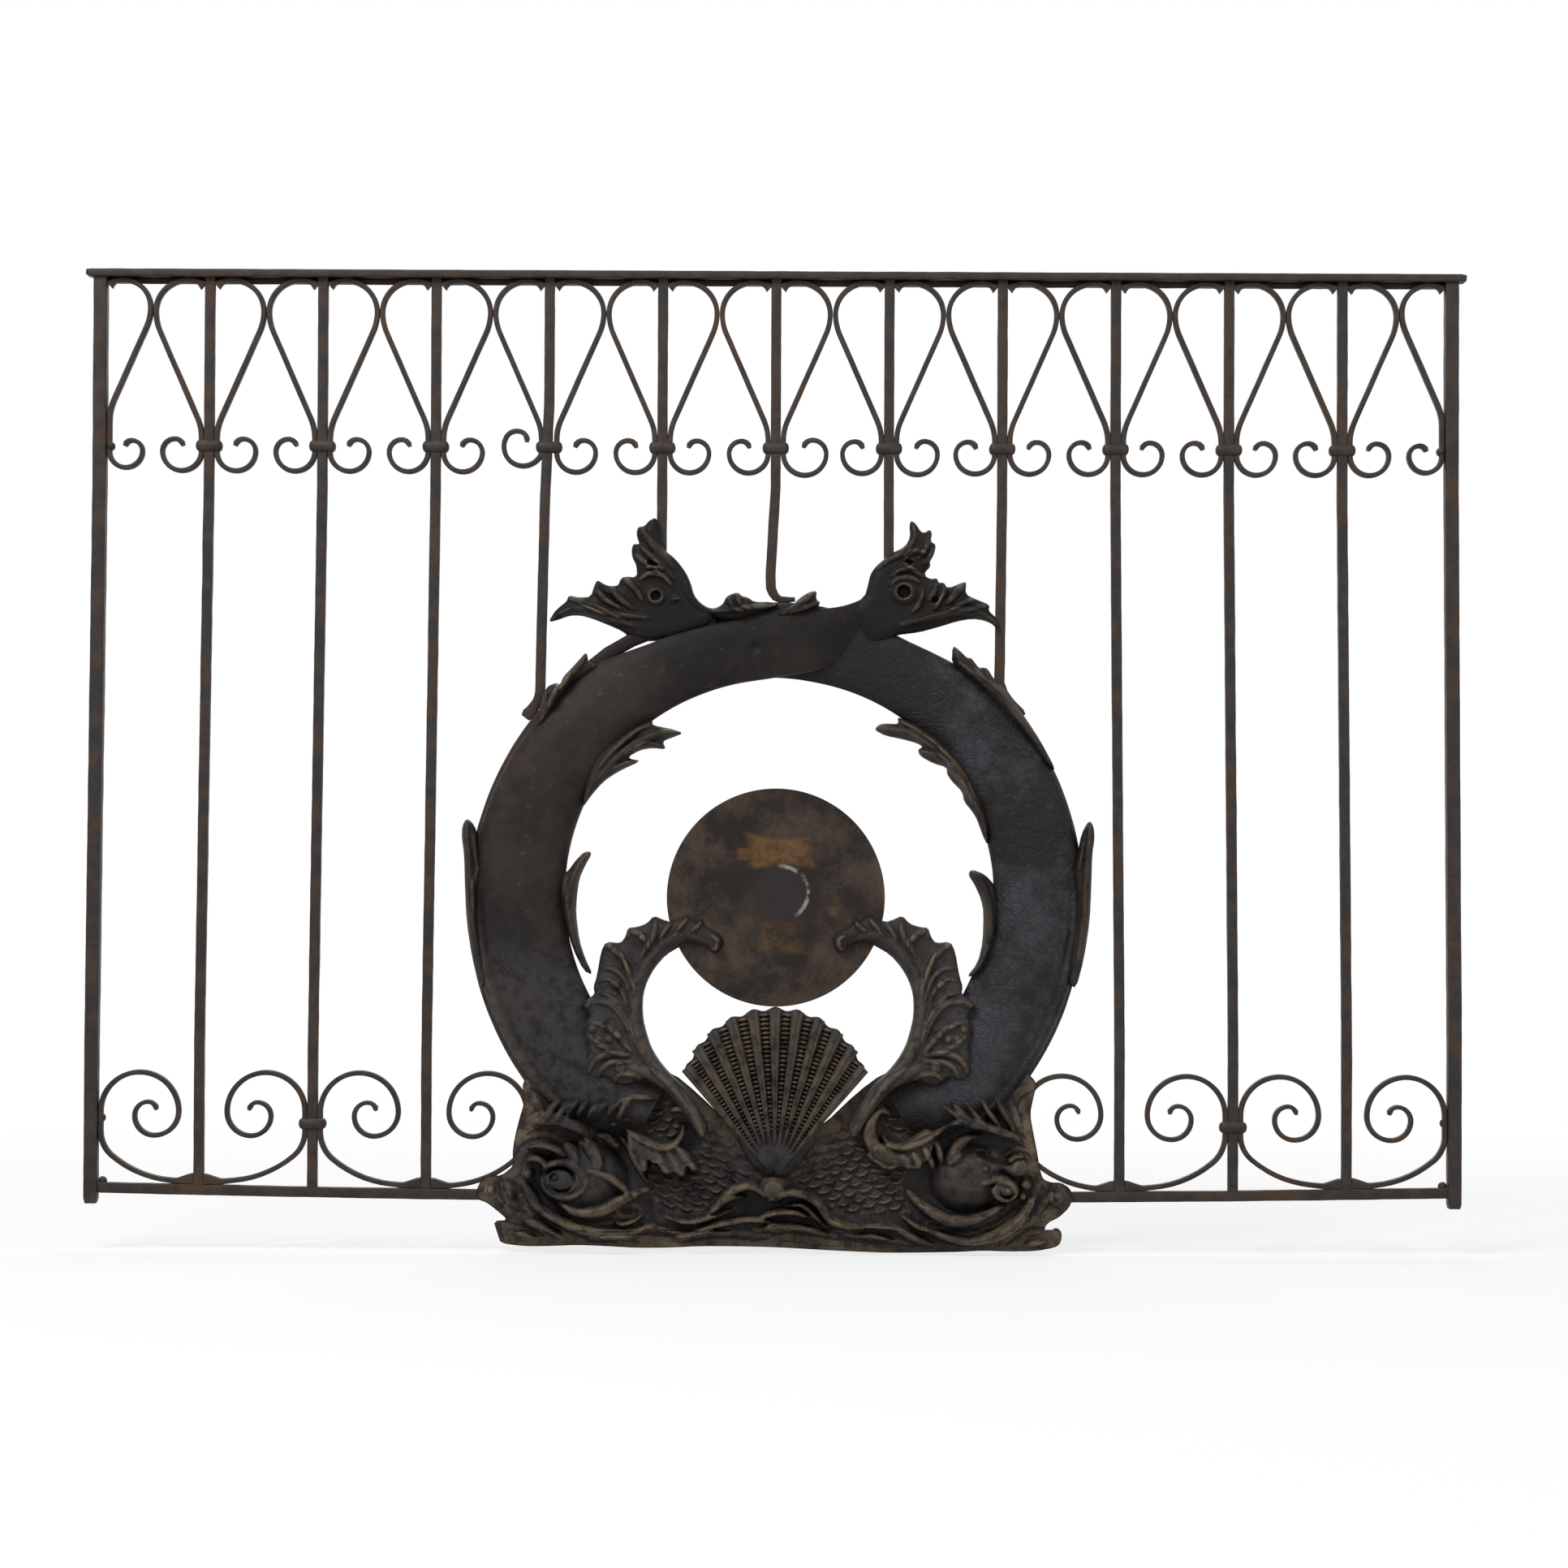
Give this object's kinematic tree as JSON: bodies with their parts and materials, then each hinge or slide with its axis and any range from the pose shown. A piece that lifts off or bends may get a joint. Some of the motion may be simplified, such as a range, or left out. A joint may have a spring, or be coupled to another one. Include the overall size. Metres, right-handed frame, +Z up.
{
  "type": "wrought iron grille panel",
  "caption": "Wrought iron grille: square uprights between rails with forged scrolls, and a cast medallion of entwined dolphins, shell and plain disc.",
  "frame": {"origin": "middle of the left stile's flat foot", "axes": "+X along the rails to the right stile, +Z up the stiles, the decorated face looks to -Y"},
  "size_m": [1.656, 0.0683, 1.1759],
  "materials": {
    "wrought_iron": "old dark paint over forged iron, rust brown along the edges",
    "cast_iron_dark": "weathered dark casting with ochre rust on the raised edges",
    "disc_plate": "dark brown plate with worn ochre patches"
  },
  "bodies": {
    "root": {"bar_01": "wrought_iron", "bar_02": "wrought_iron", "bar_03": "wrought_iron", "bar_04": "wrought_iron", "bar_05": "wrought_iron", "bar_06": "wrought_iron", "bar_07": "wrought_iron", "bar_08": "wrought_iron", "bar_09": "wrought_iron", "bar_10": "wrought_iron", "bar_11": "wrought_iron", "bottom_rail": "wrought_iron", "disc": "disc_plate", "dolphin_left_body": "cast_iron_dark", "dolphin_left_gill": "cast_iron_dark", "dolphin_left_head": "cast_iron_dark", "dolphin_left_tail": "cast_iron_dark", "dolphin_right_body": "cast_iron_dark", "dolphin_right_gill": "cast_iron_dark", "dolphin_right_head": "cast_iron_dark", "dolphin_right_tail": "cast_iron_dark", "fin_left": "cast_iron_dark", "fin_right": "cast_iron_dark", "heart_01": "wrought_iron", "heart_02": "wrought_iron", "heart_03": "wrought_iron", "heart_04": "wrought_iron", "heart_05": "wrought_iron", "heart_06": "wrought_iron", "heart_07": "wrought_iron", "heart_08": "wrought_iron", "heart_09": "wrought_iron", "heart_10": "wrought_iron", "heart_11": "wrought_iron", "heart_left": "wrought_iron", "heart_right": "wrought_iron", "hoop": "wrought_iron", "leaves_left": "cast_iron_dark", "leaves_right": "cast_iron_dark", "lower_collars": "wrought_iron", "scrolls_1": "wrought_iron", "scrolls_2": "wrought_iron", "scrolls_3": "wrought_iron", "scrolls_4": "wrought_iron", "shell": "cast_iron_dark", "stile_left": "wrought_iron", "stile_right": "wrought_iron", "top_rail": "wrought_iron", "under_rail": "wrought_iron", "upper_collars": "wrought_iron", "wave_base": "cast_iron_dark"}
  },
  "joints": []
}
